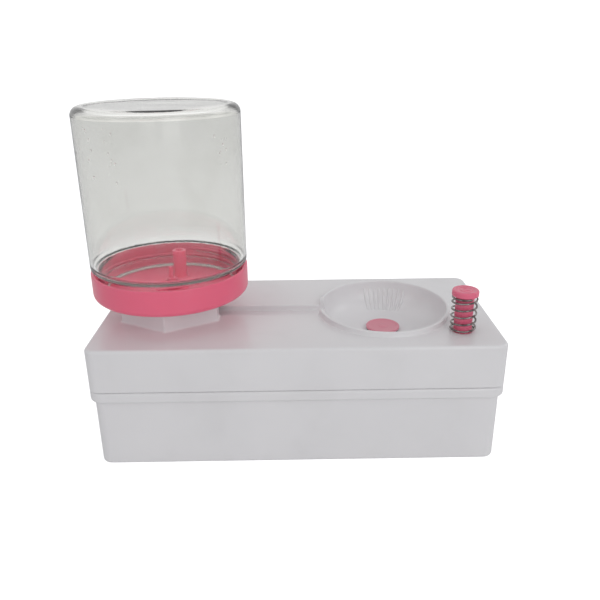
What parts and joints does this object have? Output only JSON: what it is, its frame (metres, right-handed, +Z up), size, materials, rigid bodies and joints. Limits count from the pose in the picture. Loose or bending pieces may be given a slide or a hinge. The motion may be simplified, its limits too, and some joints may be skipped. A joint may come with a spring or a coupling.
{
  "type": "paint brush rinser",
  "caption": "Table-top paint brush rinser: an inverted clear water jar on a hexagonal seat feeds a round wash basin, and a sprung push button lifts the drain plug.",
  "frame": {"origin": "centre of the waste tub's flat underside, where it stands on the table", "axes": "+X runs along the casing from the water jar to the push button, +Y to the back, +Z up"},
  "size_m": [0.2661, 0.1252, 0.22],
  "materials": {
    "white_plastic": "glossy moulded light grey-white",
    "pink_plastic": "glossy moulded pink",
    "clear_plastic": "clear blown bottle plastic",
    "white_rubber": "soft white gasket",
    "grey_rubber": "soft grey seal",
    "natural_nylon": "natural nylon",
    "spring_steel": "bright spring wire and clips"
  },
  "bodies": {
    "tub": {"waste_tub": "white_plastic"},
    "cover": {"top_cover": "white_plastic", "lever_bracket": "natural_nylon", "bracket_screw_left": "spring_steel", "bracket_screw_right": "spring_steel", "lever_pin": "spring_steel", "pin_clip": "spring_steel", "button_spring": "spring_steel"},
    "bottle": {"screw_cap": "pink_plastic", "air_tube": "pink_plastic", "valve_guide": "pink_plastic", "valve_spring": "spring_steel"},
    "gasket": {"cap_gasket": "white_rubber"},
    "jar": {"jar": "clear_plastic"},
    "valve": {"valve_stem": "pink_plastic", "valve_seal": "grey_rubber"},
    "button": {"push_button": "pink_plastic", "shaft_clip": "spring_steel"},
    "lever": {"rocker_lever": "natural_nylon"},
    "plug": {"drain_plug": "pink_plastic", "plug_seal": "grey_rubber", "plug_clip": "spring_steel"}
  },
  "joints": [
    {"name": "cover_lift", "type": "slide", "parent": "tub", "child": "cover", "axis": [0, 0, 1], "range_m": [0, 0.06]},
    {"name": "bottle_lift", "type": "slide", "parent": "cover", "child": "bottle", "axis": [0, 0, 1], "range_m": [0, 0.08]},
    {"name": "gasket_rise", "type": "slide", "parent": "bottle", "child": "gasket", "axis": [0, 0, 1], "range_m": [0, 0.00563]},
    {"name": "jar_unscrew", "type": "hinge", "parent": "gasket", "child": "jar", "pos_m": [-0.084, 0, 0.12], "axis": [0, 0, 1], "range_deg": [0, 450]},
    {"name": "valve_close", "type": "slide", "parent": "bottle", "child": "valve", "axis": [0, 0, -1], "range_m": [0, 0.003], "deforming": ["valve_spring"]},
    {"name": "button_press", "type": "slide", "parent": "cover", "child": "button", "axis": [0, 0, -1], "range_m": [0, 0.009], "stiffness_N_per_m": 160, "springref_m": -0.006, "deforming": ["button_spring"]},
    {"name": "lever_rock", "type": "hinge", "parent": "cover", "child": "lever", "pos_m": [0.0784, -0.0168, 0.0527], "axis": [0.6, 0.8, 0], "range_deg": [0, 15]},
    {"name": "plug_lift", "type": "slide", "parent": "cover", "child": "plug", "axis": [0, 0, 1], "range_m": [0, 0.0064]}
  ],
  "couplings": [
    {"joint": "gasket_rise", "follows": "jar_unscrew", "m_per_rad": 0.0007162},
    {"joint": "valve_close", "follows": "bottle_lift", "ratio": 0.0375},
    {"joint": "lever_rock", "follows": "button_press", "rad_per_m": 29.08},
    {"joint": "plug_lift", "follows": "button_press", "ratio": 0.705}
  ]
}
